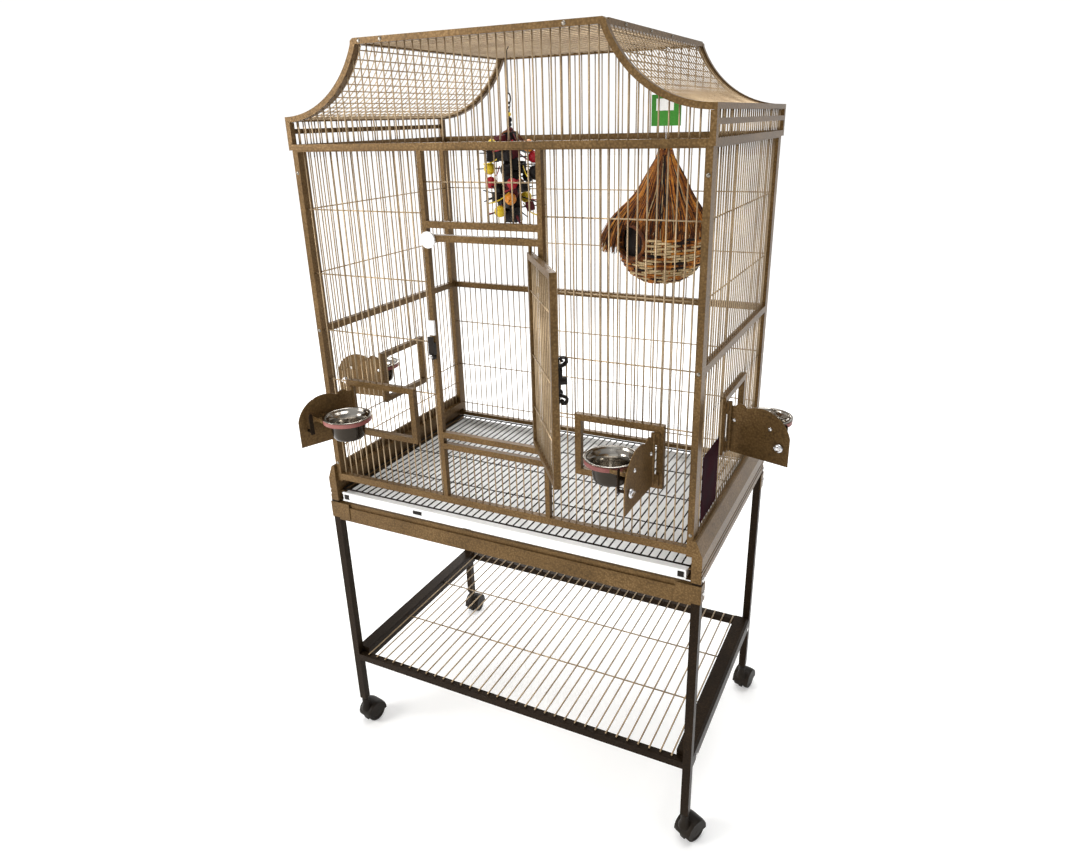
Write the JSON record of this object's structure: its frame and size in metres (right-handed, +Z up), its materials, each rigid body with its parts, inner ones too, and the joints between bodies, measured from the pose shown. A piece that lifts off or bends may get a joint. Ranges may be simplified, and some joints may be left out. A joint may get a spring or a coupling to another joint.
{
  "type": "bird cage on stand",
  "caption": "Flight cage on a rolling stand: concave bonnet roof, hinged door, swing-out feeder doors, slide-out tray and grate, nest and toy.",
  "frame": {"origin": "on the floor under the centre of the cage, in the plane the caster wheels stand on", "axes": "+Z up, the door side faces -Y, +X to the right of someone facing the door"},
  "size_m": [1.0662, 0.7242, 1.564],
  "materials": {
    "powder_coat": "hammered antique bronze powder coat",
    "wire": "light bronze powder coat on wire",
    "grate_wire": "dark bronze powder coat on wire",
    "bright_bolt": "bright plated",
    "plastic_black": "dark brown moulded nylon",
    "caster_tread": "dark moulded wheel",
    "latch_black": "black lacquered cast scrollwork",
    "white_plastic": "white moulded plastic",
    "tray_white": "white laminated tray",
    "stainless": "polished stainless steel",
    "chrome": "chromed turn button",
    "straw": "woven plant fibre",
    "card": "blank green card",
    "card_dark": "blank dark maroon card",
    "toy_mix": "stained wood blocks, sticks and balls"
  },
  "bodies": {
    "cage": {"leg_front_left": "powder_coat", "leg_front_right": "powder_coat", "leg_rear_left": "powder_coat", "leg_rear_right": "powder_coat", "stand_rail_left": "powder_coat", "stand_rail_right": "powder_coat", "stand_rail_front": "powder_coat", "stand_rail_rear": "powder_coat", "corner_brackets": "powder_coat", "stand_bolts": "bright_bolt", "shelf_frame": "powder_coat", "shelf_grille": "wire", "caster_sockets": "plastic_black", "front_frame": "powder_coat", "front_wires": "wire", "back_frame": "powder_coat", "back_wires": "wire", "left_frame": "powder_coat", "left_wires": "wire", "right_frame": "powder_coat", "right_wires": "wire", "wall_card": "card_dark", "roof_front_gable": "powder_coat", "roof_rear_gable": "powder_coat", "roof_rails": "powder_coat", "roof_gable_wires": "wire", "roof_mesh": "wire", "door_keeper": "latch_black", "door_bumper": "white_plastic", "feeder_hinges": "powder_coat"},
    "caster_fl": {"caster_hood_fl": "plastic_black"},
    "wheels_fl": {"caster_wheels_fl": "caster_tread"},
    "caster_fr": {"caster_hood_fr": "plastic_black"},
    "wheels_fr": {"caster_wheels_fr": "caster_tread"},
    "caster_rl": {"caster_hood_rl": "plastic_black"},
    "wheels_rl": {"caster_wheels_rl": "caster_tread"},
    "caster_rr": {"caster_hood_rr": "plastic_black"},
    "wheels_rr": {"caster_wheels_rr": "caster_tread"},
    "tray": {"tray": "tray_white"},
    "grate": {"floor_grate": "grate_wire"},
    "door": {"door_frame": "powder_coat", "door_wires": "wire", "door_latch_plate": "latch_black"},
    "door_latch": {"door_latch_lever": "latch_black"},
    "feeder_front_left": {"feeder_door_fl": "powder_coat"},
    "feeder_bowl_front_left": {"bowl_fl": "stainless"},
    "feeder_knob_front_left": {"feeder_knob_fl": "chrome"},
    "feeder_front_right": {"feeder_door_fr": "powder_coat"},
    "feeder_bowl_front_right": {"bowl_fr": "stainless"},
    "feeder_knob_front_right": {"feeder_knob_fr": "chrome"},
    "feeder_left": {"feeder_door_l": "powder_coat"},
    "feeder_bowl_left": {"bowl_l": "stainless"},
    "feeder_knob_left": {"feeder_knob_l": "chrome"},
    "feeder_right": {"feeder_door_r": "powder_coat"},
    "feeder_bowl_right": {"bowl_r_side": "stainless"},
    "feeder_knob_right": {"feeder_knob_r": "chrome"},
    "nest": {"nest": "straw", "nest_card": "card"},
    "toy": {"toy": "toy_mix"}
  },
  "joints": [
    {"name": "caster_swivel_fl", "type": "hinge", "parent": "cage", "child": "caster_fl", "pos_m": [-0.4175, -0.258, 0.075], "axis": [0, 0, 1], "continuous": true},
    {"name": "wheel_spin_fl", "type": "hinge", "parent": "caster_fl", "child": "wheels_fl", "pos_m": [-0.4142, -0.23929, 0.025], "axis": [-0.9848, 0.1736, 0], "continuous": true},
    {"name": "caster_swivel_fr", "type": "hinge", "parent": "cage", "child": "caster_fr", "pos_m": [0.4175, -0.258, 0.075], "axis": [0, 0, 1], "continuous": true},
    {"name": "wheel_spin_fr", "type": "hinge", "parent": "caster_fr", "child": "wheels_fr", "pos_m": [0.42553, -0.24078, 0.025], "axis": [-0.9063, 0.4226, 0], "continuous": true},
    {"name": "caster_swivel_rl", "type": "hinge", "parent": "cage", "child": "caster_rl", "pos_m": [-0.4175, 0.258, 0.075], "axis": [0, 0, 1], "continuous": true},
    {"name": "wheel_spin_rl", "type": "hinge", "parent": "caster_rl", "child": "wheels_rl", "pos_m": [-0.41916, 0.27693, 0.025], "axis": [-0.9962, -0.0872, 0], "continuous": true},
    {"name": "caster_swivel_rr", "type": "hinge", "parent": "cage", "child": "caster_rr", "pos_m": [0.4175, 0.258, 0.075], "axis": [0, 0, 1], "continuous": true},
    {"name": "wheel_spin_rr", "type": "hinge", "parent": "caster_rr", "child": "wheels_rr", "pos_m": [0.4208, 0.27671, 0.025], "axis": [-0.9848, 0.1736, 0], "continuous": true},
    {"name": "tray_slide", "type": "slide", "parent": "cage", "child": "tray", "axis": [0, -1, 0], "range_m": [0, 0.45]},
    {"name": "grate_slide", "type": "slide", "parent": "cage", "child": "grate", "axis": [0, -1, 0], "range_m": [0, 0.43]},
    {"name": "door_hinge", "type": "hinge", "parent": "cage", "child": "door", "pos_m": [0.095, -0.254, 1.035], "axis": [0, 0, 1], "range_deg": [-127, 3]},
    {"name": "door_latch_turn", "type": "hinge", "parent": "door", "child": "door_latch", "pos_m": [0.21434, -0.40323, 1.042], "axis": [0.7986, 0.6018, 0], "range_deg": [0, 90]},
    {"name": "feeder_hinge_front_left", "type": "hinge", "parent": "cage", "child": "feeder_front_left", "pos_m": [-0.328, -0.265, 0.86], "axis": [0, 0, -1], "range_deg": [-112, 4]},
    {"name": "bowl_lift_front_left", "type": "slide", "parent": "feeder_front_left", "child": "feeder_bowl_front_left", "axis": [0, 0, 1], "range_m": [0, 0.08]},
    {"name": "feeder_knob_turn_front_left", "type": "hinge", "parent": "feeder_front_left", "child": "feeder_knob_front_left", "pos_m": [-0.36771, -0.36328, 0.853], "axis": [0.9272, -0.3746, 0], "range_deg": [0, 90]},
    {"name": "feeder_hinge_front_right", "type": "hinge", "parent": "cage", "child": "feeder_front_right", "pos_m": [0.328, -0.265, 0.86], "axis": [0, 0, 1], "range_deg": [-88, 28]},
    {"name": "bowl_lift_front_right", "type": "slide", "parent": "feeder_front_right", "child": "feeder_bowl_front_right", "axis": [0, 0, 1], "range_m": [0, 0.08]},
    {"name": "feeder_knob_turn_front_right", "type": "hinge", "parent": "feeder_front_right", "child": "feeder_knob_front_right", "pos_m": [0.3243, -0.37094, 0.853], "axis": [0.9994, -0.0349, 0], "range_deg": [0, 90]},
    {"name": "feeder_hinge_left", "type": "hinge", "parent": "cage", "child": "feeder_left", "pos_m": [-0.411, -0.059, 0.86], "axis": [0, 0, 1], "range_deg": [-96, 20]},
    {"name": "bowl_lift_left", "type": "slide", "parent": "feeder_left", "child": "feeder_bowl_left", "axis": [0, 0, 1], "range_m": [0, 0.08]},
    {"name": "feeder_knob_turn_left", "type": "hinge", "parent": "feeder_left", "child": "feeder_knob_left", "pos_m": [-0.51642, -0.07008, 0.853], "axis": [0.1045, -0.9945, 0], "range_deg": [0, 90]},
    {"name": "feeder_hinge_right", "type": "hinge", "parent": "cage", "child": "feeder_right", "pos_m": [0.411, -0.059, 0.86], "axis": [0, 0, -1], "range_deg": [-107, 9]},
    {"name": "bowl_lift_right", "type": "slide", "parent": "feeder_right", "child": "feeder_bowl_right", "axis": [0, 0, 1], "range_m": [0, 0.08]},
    {"name": "feeder_knob_turn_right", "type": "hinge", "parent": "feeder_right", "child": "feeder_knob_right", "pos_m": [0.51237, -0.08999, 0.853], "axis": [0.2924, 0.9563, 0], "range_deg": [0, 90]},
    {"name": "nest_swing", "type": "hinge", "parent": "cage", "child": "nest", "pos_m": [0.24582, 0.008, 1.53362], "axis": [0, 1, 0], "range_deg": [-8, 8]},
    {"name": "toy_swing", "type": "hinge", "parent": "cage", "child": "toy", "pos_m": [-0.08, 0.008, 1.559], "axis": [0, 1, 0], "range_deg": [-15, 15]}
  ]
}
